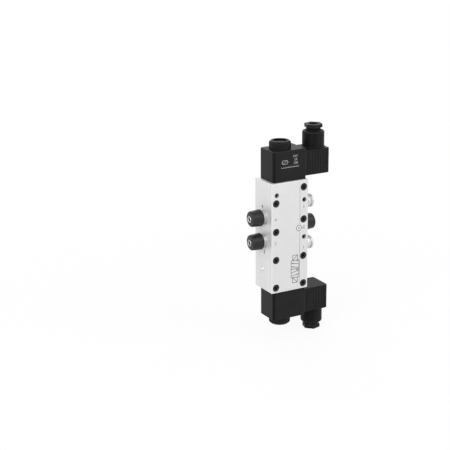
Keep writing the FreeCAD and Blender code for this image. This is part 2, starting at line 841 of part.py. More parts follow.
def makeBlades(end):
    middle = size.connectorRise + size.connectorHeight / half
    blades = []
    for i, (y, z, w, t) in enumerate(bladeSpots(middle)):
        blade = addPrimitive("Box", "%sBlade%d" % (end, i),
                             {"Length": size.bladeRoot + size.bladeLength, "Width": w, "Height": t},
                             size.coilRight - size.bladeRoot, -(w / half) + y, z - t / half)
        blades.append(blade)
    onEnd(together(end + "_coil_blades", blades), end)


# Fluted cap nut that holds the coil on its tube.
def makeNut(end):
    body = newBody(end + "_coil_nut")
    low = size.coilHeight
    high = low + size.nutHeight
    makeTurned(body, [(zero, low), (size.nutRadius, low), (size.nutRadius, high - size.nutChamfer),
                      (size.nutRadius - size.nutChamfer, high), (zero, high)])
    socket = newSketch(body, "XY_Plane", high)
    drawHexagon(socket, size.nutSocket)
    pocket(body, socket, size.nutSocketDepth)
    drill(body, "XY_Plane", low, [(zero, zero)], size.tubeStud + size.threadGap,
          size.studLength + size.studRoom, True)
    flute = newSketch(body, "XY_Plane", low + size.fluteFoot)
    drawCircle(flute, size.nutRadius + size.fluteRadius / half, zero, size.fluteRadius)
    cut = pocket(body, flute, size.nutHeight * 2, True)
    ring = body.newObject("PartDesign::PolarPattern", "Flutes")
    ring.Originals = [cut]
    ring.Axis = (flute, ["N_Axis"])
    ring.Angle = fullTurn
    ring.Occurrences = int(number(size.fluteCount))
    body.Tip = ring
    doc.recompute()
    onEnd(finish(end + "_coil_nut", body), end)


connectorLow = size.connectorRise
connectorHigh = connectorLow + size.connectorHeight
connectorMiddle = connectorLow + size.connectorHeight / half
housingStart = size.coilRight + size.padThickness
neckHigh = connectorHigh + size.neckHeight
cavityEnd = size.connectorEnd - size.housingEndWall
cavityHalf = size.coilHalfDepth - size.housingWall


# Plug housing beside the coil, with the round cable neck on its outer end.
def makeHousing(end):
    body = newBody(end + "_connector_housing")
    depth = size.coilHalfDepth
    makeBlock(body, housingStart, size.connectorEnd, -depth, depth, connectorLow, connectorHigh)
    breakEdges(body, "Fillet", size.connectorCorner,
               lambda edge: isUpright(edge) and liesAt(edge, "x", size.connectorEnd))
    breakEdges(body, "Chamfer", size.edgeBreak, lambda edge: not liesAt(edge, "x", housingStart)
               and (liesAt(edge, "z", connectorHigh) or liesAt(edge, "z", connectorLow)))
    neck = newSketch(body, "XY_Plane", connectorHigh - overcut)
    drawCircle(neck, size.neckX, zero, size.neckRadius)
    pad(body, neck, size.neckHeight + overcut)
    breakEdges(body, "Fillet", size.neckRound, lambda edge: liesAt(edge, "z", neckHigh))
    foot = newSketch(body, "XY_Plane", connectorHigh - overcut)
    drawCircle(foot, size.neckX, zero, size.neckRadius + size.neckFoot / half)
    pad(body, foot, size.neckFoot + overcut)
    breakEdges(body, "Chamfer", size.neckFootChamfer, lambda edge: len(edge.Vertexes) == 1
               and abs(edge.BoundBox.ZMin - number(connectorHigh + size.neckFoot)) < near
               and edge.BoundBox.XLength > number(size.neckRadius) * 2 + near)
    for offset, reverse in ((depth, False), (-depth, True)):
        grips = newSketch(body, "XZ_Plane", offset)
        for i in range(6):
            start = housingStart + size.gripStart + size.gripPitch * i
            drawRectangle(grips, start, start + size.gripWidth,
                          connectorLow + size.gripBorder, connectorHigh - size.gripBorder)
        pocket(body, grips, size.gripDepth, reverse)
    cavity = newSketch(body, "YZ_Plane", housingStart)
    drawRectangle(cavity, -cavityHalf, cavityHalf, connectorLow + size.housingWall,
                  connectorHigh - size.housingWall)
    pocket(body, cavity, cavityEnd - housingStart, True)
    way = [(size.neckX, zero)]
    drill(body, "XY_Plane", neckHigh, way, size.neckBore, size.neckBoreDepth)
    drill(body, "XY_Plane", neckHigh, way, size.cableWay, size.neckHeight + size.housingWall + overcut)
    bolt = [(zero, connectorMiddle)]
    drill(body, "YZ_Plane", size.connectorEnd, bolt, size.fixingHead + size.fixingHeadRoom,
          size.fixingSunk + size.fixingHeadHeight)
    drill(body, "YZ_Plane", size.connectorEnd, bolt, size.fixingRadius + size.screwRoom,
          size.housingEndWall + overcut)
    onEnd(finish(end + "_connector_housing", body), end)


# Rubber pad between coil and plug, open for the blades and the fixing screw.
def makePad(end):
    body = newBody(end + "_connector_gasket")
    depth = size.coilHalfDepth - size.padBorder
    makeBlock(body, size.coilRight, housingStart, -depth, depth,
              connectorLow + size.padBorder, connectorHigh - size.padBorder)
    drill(body, "YZ_Plane", housingStart, [(zero, connectorMiddle)], size.fixingRadius + size.looseRoom,
          size.padThickness + overcut)
    slots = newSketch(body, "YZ_Plane", housingStart)
    for x, z, w, t in bladeSpots(connectorMiddle):
        gap = size.insertGap
        drawRectangle(slots, x - w / half - gap, x + w / half + gap, z - t / half - gap, z + t / half + gap)
    pocket(body, slots, size.padThickness + overcut)
    onEnd(finish(end + "_connector_gasket", body), end)


# Contact carrier inside the plug, slotted for the blades.
def makeInsert(end):
    body = newBody(end + "_terminal_insert")
    gap = size.insertGap
    low = connectorLow + size.housingWall + gap
    high = connectorHigh - size.housingWall - gap
    wide = cavityHalf - gap
    makeBlock(body, housingStart, housingStart + size.insertLength, -wide, wide, low, high)
    drill(body, "YZ_Plane", housingStart, [(zero, connectorMiddle)], size.fixingRadius + size.looseRoom,
          size.insertLength + overcut, True)
    slots = newSketch(body, "YZ_Plane", housingStart)
    for x, z, w, t in bladeSpots(connectorMiddle):
        drawRectangle(slots, x - w / half - gap, x + w / half + gap, z - t / half - gap, z + t / half + gap)
    pocket(body, slots, size.bladeLength, True)
    onEnd(finish(end + "_terminal_insert", body), end)


# Slotted screw through the plug into the coil, one for each plug.
def makeFixings():
    screws = []
    for end in ("upper", "lower"):
        body = newBody(end + "Fixing")
        headTop = size.connectorEnd - size.fixingSunk
        headLow = headTop - size.fixingHeadHeight
        tip = size.coilRight - size.fixingReach
        profile = newSketch(body, "XY_Plane", connectorMiddle)
        drawOutline(profile, [(tip, zero), (tip, size.fixingRadius), (headLow, size.fixingRadius),
                              (headLow, size.fixingHead), (headTop, size.fixingHead), (headTop, zero)])
        feature = body.newObject("PartDesign::Revolution", "Revolution")
        feature.Profile = profile
        feature.ReferenceAxis = (profile, ["H_Axis"])
        feature.Angle = fullTurn
        doc.recompute()
        slot = newSketch(body, "XY_Plane", connectorMiddle)
        drawRectangle(slot, headTop - size.fixingHeadHeight / half, headTop + overcut,
                      -(size.fixingSlot / half), size.fixingSlot / half)
        pocket(body, slot, clearCut, False, True)
        screws.append(onEnd(body, end))
    together("connector_screws", screws)


# Parts of the cable gland: rubber grommet and the hexagon nut with its waist.
def makeGland(end):
    floor = neckHigh - size.neckBoreDepth
    grommet = newBody(end + "_cable_grommet")
    makeTurned(grommet, ringCorners(size.cableRadius, size.grommetRadius, floor, floor + size.grommetHeight))
    breakEdges(grommet, "Chamfer", size.edgeBreak, lambda edge: liesAt(edge, "z", floor + size.grommetHeight))
    place(finish(end + "_cable_grommet", grommet), *neckPlace(end))
    nut = newBody(end + "_gland_nut")
    threadLow = neckHigh - size.glandThreadLength
    waistHigh = neckHigh + size.glandWaist
    flareHigh = waistHigh + size.glandFlare
    headHigh = flareHigh + size.glandHead
    makeTurned(nut, [(size.glandBore, threadLow), (size.glandThread, threadLow),
                     (size.glandThread, waistHigh), (size.glandFlat, flareHigh), (size.glandBore, flareHigh)])
    head = newSketch(nut, "XY_Plane", flareHigh)
    drawHexagon(head, size.glandFlat)
    pad(nut, head, size.glandHead)
    drill(nut, "XY_Plane", headHigh, [(zero, zero)], size.glandBore, size.glandHead + overcut)
    x, y, z, turn = neckPlace(end)
    lean = FreeCAD.Rotation(FreeCAD.Vector(0, 0, 1), -15 if end == "upper" else 15)
    place(finish(end + "_gland_nut", nut), x, y, z, turn * lean)


# Axis of the cable neck, with the turn of its end.
def neckPlace(end):
    if end == "upper":
        return axisX + size.neckX, axisY, top, noTurn
    return axisX + size.neckX, axisY, bottom, downTurn


# Puts a fitting at its port mouth, its own +Z pointing out of the body.
def atPort(thing, side, level):
    if side == "left":
        place(thing, left, axisY, level, leftTurn)
    else:
        place(thing, right, axisY, level, rightTurn)
    return thing


fittingPlaces = [("4", "left", portFour), ("2", "left", portTwo), ("1", "right", portOne)]
shellLow = size.stemCollarHeight
shellHigh = shellLow + size.shellLength


# Push-in fitting: threaded stem with a round collar, outer shell and the ring that frees the tube.
def makeFitting(port, side, level):
    stem = newBody("fitting_%s_stem" % port)
    spigotHigh = size.stemCollarHeight + size.stemSpigotLength
    disc = newSketch(stem, "XY_Plane")
    drawCircle(disc, zero, zero, size.stemCollar)
    pad(stem, disc, size.stemCollarHeight)
    breakEdges(stem, "Chamfer", size.edgeBreak, lambda edge: liesAt(edge, "z", size.stemCollarHeight))
    thread = newSketch(stem, "XY_Plane", -threadLength)
    drawCircle(thread, zero, zero, size.stemThread)
    pad(stem, thread, threadLength + size.stemOverlap)
    spigot = newSketch(stem, "XY_Plane", size.stemCollarHeight - size.stemOverlap)
    drawCircle(spigot, zero, zero, size.stemSpigot)
    pad(stem, spigot, size.stemSpigotLength + size.stemOverlap)
    drill(stem, "XY_Plane", spigotHigh, [(zero, zero)], size.sealSeat, size.sealSeatDepth)
    drill(stem, "XY_Plane", spigotHigh, [(zero, zero)], size.tubeSocket, size.tubeSocketDepth)
    drill(stem, "XY_Plane", spigotHigh, [(zero, zero)], size.stemWay, threadLength + spigotHigh)
    atPort(finish("fitting_%s_stem" % port, stem), side, level)

    shell = newBody("fitting_%s_shell" % port)
    inner = size.collarRadius + size.collarGap
    step = spigotHigh + size.collarTravel
    makeTurned(shell, [(size.stemSpigot + size.seatGap, shellLow), (size.shellFlange, shellLow),
                       (size.shellFlange, shellLow + size.shellFlangeWidth),
                       (size.shellRadius, shellHigh), (inner, shellHigh), (inner, step),
                       (size.stemSpigot + size.seatGap, step)])
    rim = number(inner + size.shellRadius) / half
    breakEdges(shell, "Fillet", size.shellRound,
               lambda edge: liesAt(edge, "z", shellHigh) and edge.BoundBox.XMax > rim)
    breakEdges(shell, "Fillet", size.shellFoot,
               lambda edge: liesAt(edge, "z", shellLow) and edge.BoundBox.XMax > rim)
    atPort(finish("fitting_%s_shell" % port, shell), side, level)

    collarLow = spigotHigh + size.collarTravel + size.endGap
    collarHigh = shellHigh + size.collarProud
    collar = newBody("fitting_%s_collar" % port)
    makeTurned(collar, [(size.tubeSocket, collarLow), (size.collarRadius, collarLow),
                        (size.collarRadius, collarHigh - size.collarLip),
                        (size.collarRadius - size.collarLip, collarHigh),
                        (size.tubeSocket + size.collarLip, collarHigh),
                        (size.tubeSocket, collarHigh - size.collarLip)])
    atPort(finish("fitting_%s_collar" % port, collar), side, level)


# Rubber rings that grip the tubes inside the three fittings.
def makeTubeRings():
    rings = []
    spigotHigh = size.stemCollarHeight + size.stemSpigotLength
    for port, side, level in fittingPlaces:
        body = newBody("grip%s" % port)
        low = spigotHigh - size.sealSeatDepth + size.seatGap
        makeTurned(body, ringCorners(size.tubeSocket, size.sealSeat - size.seatGap,
                                     low, spigotHigh - size.runGap * 2))
        rings.append(atPort(body, side, level))
    together("fitting_rings", rings)


# Exhaust silencer: turned sleeve with a groove, closed by a porous disc.
def makeSilencer(port, level):
    high = size.silencerLength
    groove = size.silencerRadius - size.silencerGroove
    grooveHigh = size.silencerCollar + size.silencerGrooveWidth
    discLow = high - size.discSunk - size.discThickness
    corners = [(size.silencerWay, -threadLength), (size.stemThread, -threadLength),
               (size.stemThread, zero), (size.silencerRadius, zero),
               (size.silencerRadius, size.silencerCollar),
               (groove, size.silencerCollar), (groove, grooveHigh), (size.silencerRadius, grooveHigh),
               (size.silencerRadius, high - size.silencerChamfer),
               (size.silencerRadius - size.silencerChamfer, high),
               (size.discRadius, high), (size.discRadius, discLow), (size.silencerWay, discLow)]
    sleeve = turnedPiece("silencer_%s_sleeve" % port, corners)
    atPort(sleeve, "right", level)
    disc = turnedPiece("silencer_%s_disc" % port,
                       [(zero, discLow), (size.discRadius - size.discGap, discLow),
                        (size.discRadius - size.discGap, high - size.discSunk), (zero, high - size.discSunk)])
    atPort(disc, "right", level)


makeBody()
makePlate()
makeGasket()
makeFasteners()
makeSpool()
makePiston("upper_piston", upperPistonLow, -1)
makePiston("lower_piston", lowerPistonLow, 1)
makePistonSeals()
makeSpoolSeals()
makeCages()
makeTubeSeals()
for end in ("upper", "lower"):
    makeTube(end)
    makeSeat(end)
    makePlunger(end)
    makeSpring(end)
    makeCoil(end)
    makeBlades(end)
    makeNut(end)
    makeHousing(end)
    makePad(end)
    makeInsert(end)
    makeGland(end)
makeFixings()
for port, side, level in fittingPlaces:
    makeFitting(port, side, level)
makeTubeRings()
makeSilencer("5", portFive)
makeSilencer("3", portThree)
doc.recompute()

for thing in doc.Objects:
    if "Invalid" in thing.State or "Error" in thing.State:
        raise RuntimeError("%s failed: %s" % (thing.Name, thing.State))
for name, thing in named.items():
    if thing.Shape.isNull() or not thing.Shape.isValid():
        raise RuntimeError("%s has no valid shape" % name)
for name, thing in named.items():
    thing.Shape.exportStep("parts/%s.step" % name)
print("%d pieces, %d solids" % (len(named), sum(len(t.Shape.Solids) for t in named.values())))
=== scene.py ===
import bpy
import bmesh
import math
from mathutils import Matrix, Vector


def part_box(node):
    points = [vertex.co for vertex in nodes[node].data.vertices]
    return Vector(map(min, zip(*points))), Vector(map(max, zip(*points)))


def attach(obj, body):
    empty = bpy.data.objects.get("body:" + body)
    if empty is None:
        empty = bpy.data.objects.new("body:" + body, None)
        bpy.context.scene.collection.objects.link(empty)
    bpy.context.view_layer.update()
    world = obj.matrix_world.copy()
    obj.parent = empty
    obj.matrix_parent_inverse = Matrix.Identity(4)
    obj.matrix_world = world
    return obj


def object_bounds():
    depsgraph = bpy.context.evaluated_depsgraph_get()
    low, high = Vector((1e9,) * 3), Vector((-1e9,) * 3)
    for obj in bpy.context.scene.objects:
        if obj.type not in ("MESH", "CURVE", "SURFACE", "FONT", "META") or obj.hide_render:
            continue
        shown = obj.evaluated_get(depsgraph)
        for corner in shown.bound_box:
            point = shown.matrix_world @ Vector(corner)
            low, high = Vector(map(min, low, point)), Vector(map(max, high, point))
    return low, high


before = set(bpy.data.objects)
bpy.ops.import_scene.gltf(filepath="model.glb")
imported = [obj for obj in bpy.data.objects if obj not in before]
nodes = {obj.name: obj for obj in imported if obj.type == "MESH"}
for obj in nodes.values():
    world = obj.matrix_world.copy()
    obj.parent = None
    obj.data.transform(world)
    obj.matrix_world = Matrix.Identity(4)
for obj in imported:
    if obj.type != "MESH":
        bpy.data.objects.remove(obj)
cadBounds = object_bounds()
mm = 0.001
print("frame loaded")


# Camera: fitted to the block's edges in the photograph
cameraFit = {
    "place": (-444.2, -748.15, 273.0),
    "yaw": 28.085,
    "pitch": 17.221,
    "roll": -0.713,
    "lens": 88.26,
    "sensor": 36,
    "farthest": 50,
}


def addCamera(fit):
    yaw, pitch, roll = (math.radians(fit[key]) for key in ("yaw", "pitch", "roll"))
    ahead = Vector((math.sin(yaw) * math.cos(pitch), math.cos(yaw) * math.cos(pitch), -math.sin(pitch)))
    level = Vector((math.cos(yaw), -math.sin(yaw), 0))
    upward = level.cross(ahead)
    side = level * math.cos(roll) + upward * math.sin(roll)
    up = upward * math.cos(roll) - level * math.sin(roll)
    lens = bpy.data.cameras.new("camera")
    lens.lens = fit["lens"]
    lens.sensor_width = fit["sensor"]
    lens.clip_end = fit["farthest"]
    camera = bpy.data.objects.new("camera", lens)
    turn = Matrix((side, up, -ahead)).transposed().to_4x4()
    camera.matrix_world = Matrix.Translation(Vector(fit["place"]) * mm) @ turn
    bpy.context.scene.collection.objects.link(camera)
    bpy.context.scene.camera = camera


addCamera(cameraFit)


# A shader socket that adds, multiplies and compares like a number
class Flow:
    def __init__(self, graph, socket):
        self.graph = graph
        self.socket = socket

    def maths(self, kind, first, second):
        return self.graph.node("Math", {"operation": kind}, {0: first, 1: second})

    def __add__(self, other):
        return self.maths("ADD", self, other)

    def __radd__(self, other):
        return self.maths("ADD", other, self)

    def __sub__(self, other):
        return self.maths("SUBTRACT", self, other)

    def __rsub__(self, other):
        return self.maths("SUBTRACT", other, self)

    def __mul__(self, other):
        return self.maths("MULTIPLY", self, other)

    def __rmul__(self, other):
        return self.maths("MULTIPLY", other, self)

    def __abs__(self):
        return self.maths("ABSOLUTE", self, 0.0)

    def __or__(self, other):
        return self.maths("MAXIMUM", self, other)

    def __ror__(self, other):
        return self.maths("MAXIMUM", other, self)

    def __gt__(self, other):
        return self.maths("GREATER_THAN", self, other)

    def __lt__(self, other):
        return self.maths("LESS_THAN", self, other)


# A node tree and the one method that adds its nodes
class Graph:
    def __init__(self, tree):
        self.tree = tree

    # Settings come first, then the values or links of the sockets
    def node(self, kind, settings, sockets, out=0):
        made = self.tree.nodes.new("ShaderNode" + kind)
        for key, value in settings.items():
            setattr(made, key, value)
        for key, value in sockets.items():
            self.feed(made.inputs[key], value)
        return Flow(self, made.outputs[out])

    # Puts a number, a colour or a link into a socket
    def feed(self, spot, value):
        if isinstance(value, Flow):
            self.tree.links.new(value.socket, spot)
        elif spot.type == "RGBA" and len(value) == 3:
            spot.default_value = (*value, 1)
        else:
            spot.default_value = value

    # One for a ray of the given kind, zero for the others
    def rays(self, kind):
        return self.node("LightPath", {}, {}, kind)


# A material with its shader and the patterns that its recipes use
class Finish(Graph):
    def __init__(self, name, colour, rough, metal, **fixed):
        self.material = bpy.data.materials.new(name)
        self.material.use_nodes = True
        super().__init__(self.material.node_tree)
        self.shader = self.tree.nodes["Principled BSDF"]
        self.material.diffuse_color = (*colour, 1)
        self.set("Base Color", colour)
        self.set("Roughness", rough)
        self.set("Metallic", metal)
        for key, value in fixed.items():
            self.set(key.replace("_", " "), value)

    def set(self, name, value):
        self.feed(self.shader.inputs[name], value)

    def place(self):
        return self.node("TexCoord", {}, {}, "Object")

    def noise(self, scale, detail, rough=0.5, stretch=(1, 1, 1)):
        spot = self.node("VectorMath", {"operation": "MULTIPLY"}, {0: self.place(), 1: stretch})
        return self.node("TexNoise", {}, {"Vector": spot, "Scale": scale, "Detail": detail,
                                          "Roughness": rough})

    def spread(self, value, low, high, start=0.3, end=0.7):
        return self.node("MapRange", {}, {"Value": value, "From Min": start, "From Max": end,
                                          "To Min": low, "To Max": high})

    def blend(self, factor, first, second):
        return self.node("Mix", {"data_type": "RGBA"}, {"Factor": factor, 6: first, 7: second}, 2)

    def bump(self, height, distance, strength, edge=0.0):
        sockets = {"Height": height, "Distance": distance, "Strength": strength}
        if edge:
            sockets["Normal"] = self.node("Bevel", {"samples": 6}, {"Radius": edge})
        self.set("Normal", self.node("Bump", {}, sockets))


# Paler edges, part rubbed wear and part painted highlight, found from how much open space lies inside the
# surface
def rubAndHighlightEdge(finish, width):
    reach = finish.node("AmbientOcclusion", {"inside": True, "samples": 6}, {"Distance": width}, "AO")
    return finish.spread(reach, 1.0, 0.0, 0.45, 0.9)


# Painted shade: darker colour in the corners where pieces meet, found from ambient occlusion
def paintedCornerShade(finish, width):
    reach = finish.node("AmbientOcclusion", {"samples": 6}, {"Distance": width}, "AO")
    return finish.spread(reach, 1.0, 0.0, 0.25, 0.75)


# One on ridges and flats, zero in flutes
def openPart(finish, width):
    reach = finish.node("AmbientOcclusion", {"samples": 12}, {"Distance": width}, "AO")
    return finish.spread(reach, 0.0, 1.0, 0.62, 0.92)


# One on rounded upright corners, zero on flats that face along an axis and on level edges
def roundedPart(finish, flat=0.997, curved=0.93):
    facing = finish.node("TexCoord", {}, {}, "Normal")
    x, y, z = (abs(finish.node("SeparateXYZ", {}, {0: facing}, axis)) for axis in "XYZ")
    return finish.spread(x | y | z, 0.0, 1.0, flat, curved) * finish.spread(z, 1.0, 0.0, 0.05, 0.25)


# The same colour, darker or paler
def tinted(colour, share):
    return tuple(part * share for part in colour)


# Blasted finish: scales of the noise, widths in millimetres, then how dark and how smooth marks are
blasting = {"cloud": 45, "drift": 18, "grain": 2600, "cutter": 900, "paleEdgeWidth": 0.5, "bevel": 0.15,
            "depth": 0.03, "level": 0.5, "stain": 0.95, "streak": 0.92, "polish": 0.12}


# Fine blasted metal with a trace of the cutter under it
def blastedAluminium(made):
    made = {**blasting, **made}
    colour, rough = made["colour"], made["rough"]
    finish = Finish(made["name"], colour, rough, made["metal"], Specular_IOR_Level=made["level"])
    cloud = finish.noise(made["cloud"], 4)
    drift = finish.noise(made["drift"], 2, 0.5, (1, 1, 0.35))  # drawn out upwards
    grain = finish.noise(made["grain"], 2)
    cutter = finish.noise(made["cutter"], 2, 0.5, (1, 1, 0.03))  # long upright lines
    tone = finish.blend(finish.spread(cloud, 0, 1), tinted(colour, made["stain"]), colour)
    tone = finish.blend(finish.spread(drift, 0, 0.5, 0.35, 0.75), tone, tinted(colour, made["streak"]))
    # Paler edges: part rubbed wear, part a painted highlight where the bevels would catch the lamps
    edge = rubAndHighlightEdge(finish, made["paleEdgeWidth"] * mm)
    finish.set("Base Color", finish.blend(edge, tone, made["edge"]))
    finish.set("Roughness", finish.spread(cloud, rough + 0.05, rough - 0.03) - edge * made["polish"])
    finish.bump(grain * 0.8 + cutter * 0.4, made["depth"] * mm, 0.35, made["bevel"] * mm)
    return finish.material


# Moulded finish, where a piece's own dictionary doesn't say otherwise: noise, widths in millimetres, tones;
# the pale edge tone is part rubbed wear and part painted highlight, the corner tones are painted shade
moulding = {"cloud": 60, "grain": 1500, "flow": 90, "paleEdgeWidth": 0.35, "cornerShade": 1.5, "flute": 1.2, "bevel": 0.2,
            "depth": 0.02, "low": 0.88, "high": 1.12, "streak": 1.45, "shadeTone": 0.3, "shadeShare": 0.6,
            "rubAndHighlight": 0.25, "worn": (0.09, 0.09, 0.09), "shade": (0.0015, 0.0015, 0.0015),
            "corner": 0.0, "gloss": 0.0}


# Moulded plastic: eroded skin on the flats, closer on the rounded corners, which are coloured darker as a
# painted reflection
def mouldedPlastic(made):
    made = {**moulding, **made}
    colour, rough = made["colour"], made["rough"]
    finish = Finish(made["name"], colour, rough, 0.0, Specular_IOR_Level=made["level"])
    cloud = finish.noise(made["cloud"], 3)
    skin = finish.noise(made["grain"], 2, 0.6)
    flow = finish.noise(made["flow"], 2, 0.5, (0.3, 0.3, 2.2))  # level flow lines
    tone = finish.blend(finish.spread(cloud, 0, 1), tinted(colour, made["low"]), tinted(colour, made["high"]))
    tone = finish.blend(finish.spread(flow, 0, 0.4, 0.45, 0.8), tone, tinted(colour, made["streak"]))
    # Paler edges: part rubbed wear, part a painted highlight along rims and top edges
    edge = rubAndHighlightEdge(finish, made["paleEdgeWidth"] * mm)
    tone = finish.blend(edge * made["rubAndHighlight"], tone, made["worn"])
    # Painted reflection: rounded upright corners are coloured darker, standing in for the dark surroundings
    # they would mirror
    if made["corner"]:
        tone = finish.blend(roundedPart(finish) * made["corner"], tone, made["shade"])
    # Painted shade: the colour darkens in corners, flutes and hollows
    cornerShade = paintedCornerShade(finish, made["cornerShade"] * mm)
    tone = finish.blend(cornerShade * made["shadeShare"], tone, tinted(colour, made["shadeTone"]))
    finish.set("Base Color", tone)
    if made["gloss"]:
        finish.set("Coat Weight", openPart(finish, made["flute"] * mm) * made["gloss"])
    finish.set("Roughness", finish.spread(skin, rough - 0.06, rough + 0.08))
    finish.bump(skin, made["depth"] * mm, 0.4, made["bevel"] * mm)
    return finish.material


# Turned finish, where a piece's own dictionary doesn't say otherwise, and how its rings lie along each axis;
# its corner tone is painted shade
turning = {"cloud": 150, "fine": 900, "cornerShade": 1.2, "bevel": 0.08, "depth": 0.01, "stain": 0.84, "ring": 0.75,
           "shadeTone": 0.3, "shadeShare": 0.7, "metal": 1.0, "axis": "none"}
ringStretch = {"x": (3, 0.15, 0.15), "z": (0.15, 0.15, 3), "none": (1, 1, 1)}


# Turned metal: tool rings round the given axis, stains and painted shade in the hollows
def turnedMetal(made):
    made = {**turning, **made}
    colour, rough = made["colour"], made["rough"]
    finish = Finish(made["name"], colour, rough, made["metal"])
    rings = finish.noise(made["fine"], 2, 0.5, ringStretch[made["axis"]])
    cloud = finish.noise(made["cloud"], 3)
    tone = finish.blend(finish.spread(cloud, 0, 1), tinted(colour, made["stain"]), colour)
    tone = finish.blend(finish.spread(rings, 0, 0.5), tone, tinted(colour, made["ring"]))
    # Painted shade: the colour darkens in corners and hollows
    cornerShade = paintedCornerShade(finish, made["cornerShade"] * mm)
    tone = finish.blend(cornerShade * made["shadeShare"], tone, tinted(colour, made["shadeTone"]))
    finish.set("Base Color", tone)
    finish.set("Roughness", finish.spread(rings, rough - 0.05, rough + 0.1))
    finish.bump(rings, made["depth"] * mm, 0.35, made["bevel"] * mm)
    return finish.material


# Sintered metal with dark pores
def poredMetal(made):
    finish = Finish(made["name"], made["colour"], made["rough"], made["metal"])
    cells = finish.node("TexVoronoi", {}, {"Vector": finish.place(), "Scale": made["cells"]})
    tone = finish.blend(finish.spread(cells, 0, 1, 0.1, 0.5), made["colour"], made["pore"])
    cloud = finish.noise(made["cloud"], 2)
    finish.set("Base Color", finish.blend(finish.spread(cloud, 0, 0.4), tone, made["pore"]))
    finish.bump(1.0 - cells, made["depth"] * mm, 0.8)
    return finish.material


# Fine lacquered wire, turn beside turn
def woundCopper(made):
    finish = Finish(made["name"], made["colour"], made["rough"], made["metal"], Coat_Weight=made["lacquer"])
    turns = finish.node("TexWave", {"bands_direction": "Z"},
                        {"Vector": finish.place(), "Scale": made["turns"]})
    finish.set("Base Color", finish.blend(turns, tinted(made["colour"], 0.5), made["colour"]))
    finish.bump(turns, made["depth"] * mm, 0.7)
    return finish.material


# The block's paler edge colour is part rubbed wear and part painted highlight
block = blastedAluminium({"name": "blasted_block", "colour": (0.725, 0.725, 0.725), "rough": 0.5,
                          "metal": 0.55, "edge": (0.9, 0.9, 0.9)})
rubber = mouldedPlastic({"name": "rubber", "colour": (0.012, 0.012, 0.012), "rough": 0.7, "level": 0.15,
                         "grain": 900})
blackSteel = turnedMetal({"name": "black_steel", "colour": (0.03, 0.03, 0.032), "rough": 0.4, "fine": 1200,
                          "metal": 0.7})
ballSteel = turnedMetal({"name": "ball_steel", "colour": (0.85, 0.85, 0.85), "rough": 0.42})
plugSteel = turnedMetal({"name": "plug_steel", "colour": (0.12, 0.12, 0.125), "rough": 0.4})
spoolMetal = turnedMetal({"name": "spool_metal", "colour": (0.72, 0.72, 0.73), "rough": 0.3, "axis": "z"})
cageWhite = mouldedPlastic({"name": "cage_plastic", "colour": (0.60, 0.57, 0.50), "rough": 0.5, "level": 0.5,
                            "worn": (0.7, 0.67, 0.6)})
tubeSteel = turnedMetal({"name": "tube_steel", "colour": (0.55, 0.55, 0.56), "rough": 0.28, "axis": "z"})
brass = turnedMetal({"name": "seat_brass", "colour": (0.72, 0.55, 0.27), "rough": 0.3})
wire = turnedMetal({"name": "spring_wire", "colour": (0.5, 0.5, 0.51), "rough": 0.25})
# In the black plastics, the paler edge tone is part rubbed wear and part painted highlight; the corner share
# paints rounded corners darker as a reflection
coilBlack = mouldedPlastic({"name": "coil_plastic", "colour": (0.0105, 0.0105, 0.011), "rough": 0.47,
                            "level": 0.14, "corner": 1.0, "rubAndHighlight": 0.9})
nutBlack = mouldedPlastic({"name": "nut_plastic", "colour": (0.005, 0.005, 0.005), "rough": 0.42,
                           "level": 0.06, "rubAndHighlight": 1.0, "worn": (0.08, 0.08, 0.08), "gloss": 0.2})
plugBlack = mouldedPlastic({"name": "plug_plastic", "colour": (0.0085, 0.0085, 0.009), "rough": 0.48,
                            "level": 0.11, "corner": 0.7, "rubAndHighlight": 0.6})
glandBlack = mouldedPlastic({"name": "gland_plastic", "colour": (0.0065, 0.0065, 0.0065), "rough": 0.42,
                             "level": 0.12, "rubAndHighlight": 0.6})
shellBlack = mouldedPlastic({"name": "shell_plastic", "colour": (0.0135, 0.0135, 0.0135), "rough": 0.36,
                             "level": 0.28, "rubAndHighlight": 1.0})
copper = woundCopper({"name": "winding_copper", "colour": (0.55, 0.25, 0.10), "rough": 0.3, "metal": 0.4,
                      "lacquer": 0.6, "turns": 1200, "depth": 0.1})
nickel = turnedMetal({"name": "nickel_plate", "colour": (0.62, 0.62, 0.61), "rough": 0.38, "axis": "x"})
collarNickel = turnedMetal({"name": "collar_nickel", "colour": (0.50, 0.50, 0.49), "rough": 0.36,
                            "axis": "x"})
silencerNickel = turnedMetal({"name": "silencer_nickel", "colour": (0.76, 0.76, 0.75), "rough": 0.52,
                              "metal": 0.6, "axis": "x"})
sinter = poredMetal({"name": "sintered_bronze", "colour": (0.45, 0.38, 0.26), "pore": (0.08, 0.06, 0.04),
                     "rough": 0.6, "metal": 0.85, "cells": 2400, "cloud": 300, "depth": 0.12})

# Finish of each node; a key that starts with _ is the end of a name, and what isn't listed is rubber
wearing = {
    "valve_body": block, "front_plate": block, "plate_screws": blackSteel, "pilot_plugs": plugSteel,
    "channel_ball": ballSteel, "spool": spoolMetal, "spacer_sleeve": spoolMetal,
    "_cage": cageWhite, "_piston": cageWhite, "_armature_tube": tubeSteel, "_plunger": tubeSteel,
    "_pilot_seat": brass, "_coil_blades": brass, "_plunger_spring": wire, "_coil_winding": copper,
    "_coil_housing": coilBlack, "_coil_nut": nutBlack, "_connector_housing": plugBlack,
    "_terminal_insert": plugBlack, "_gland_nut": glandBlack, "connector_screws": blackSteel,
    "_stem": nickel, "_shell": shellBlack, "_collar": collarNickel, "_sleeve": silencerNickel,
    "_disc": sinter,
}


def dress(name, thing):
    ends = [key for key in wearing if key.startswith("_") and name.endswith(key)]
    chosen = wearing.get(name) or (wearing[ends[0]] if ends else rubber)
    thing.data.materials.clear()
    thing.data.materials.append(chosen)


for name, thing in nodes.items():
    dress(name, thing)
print("materials set")


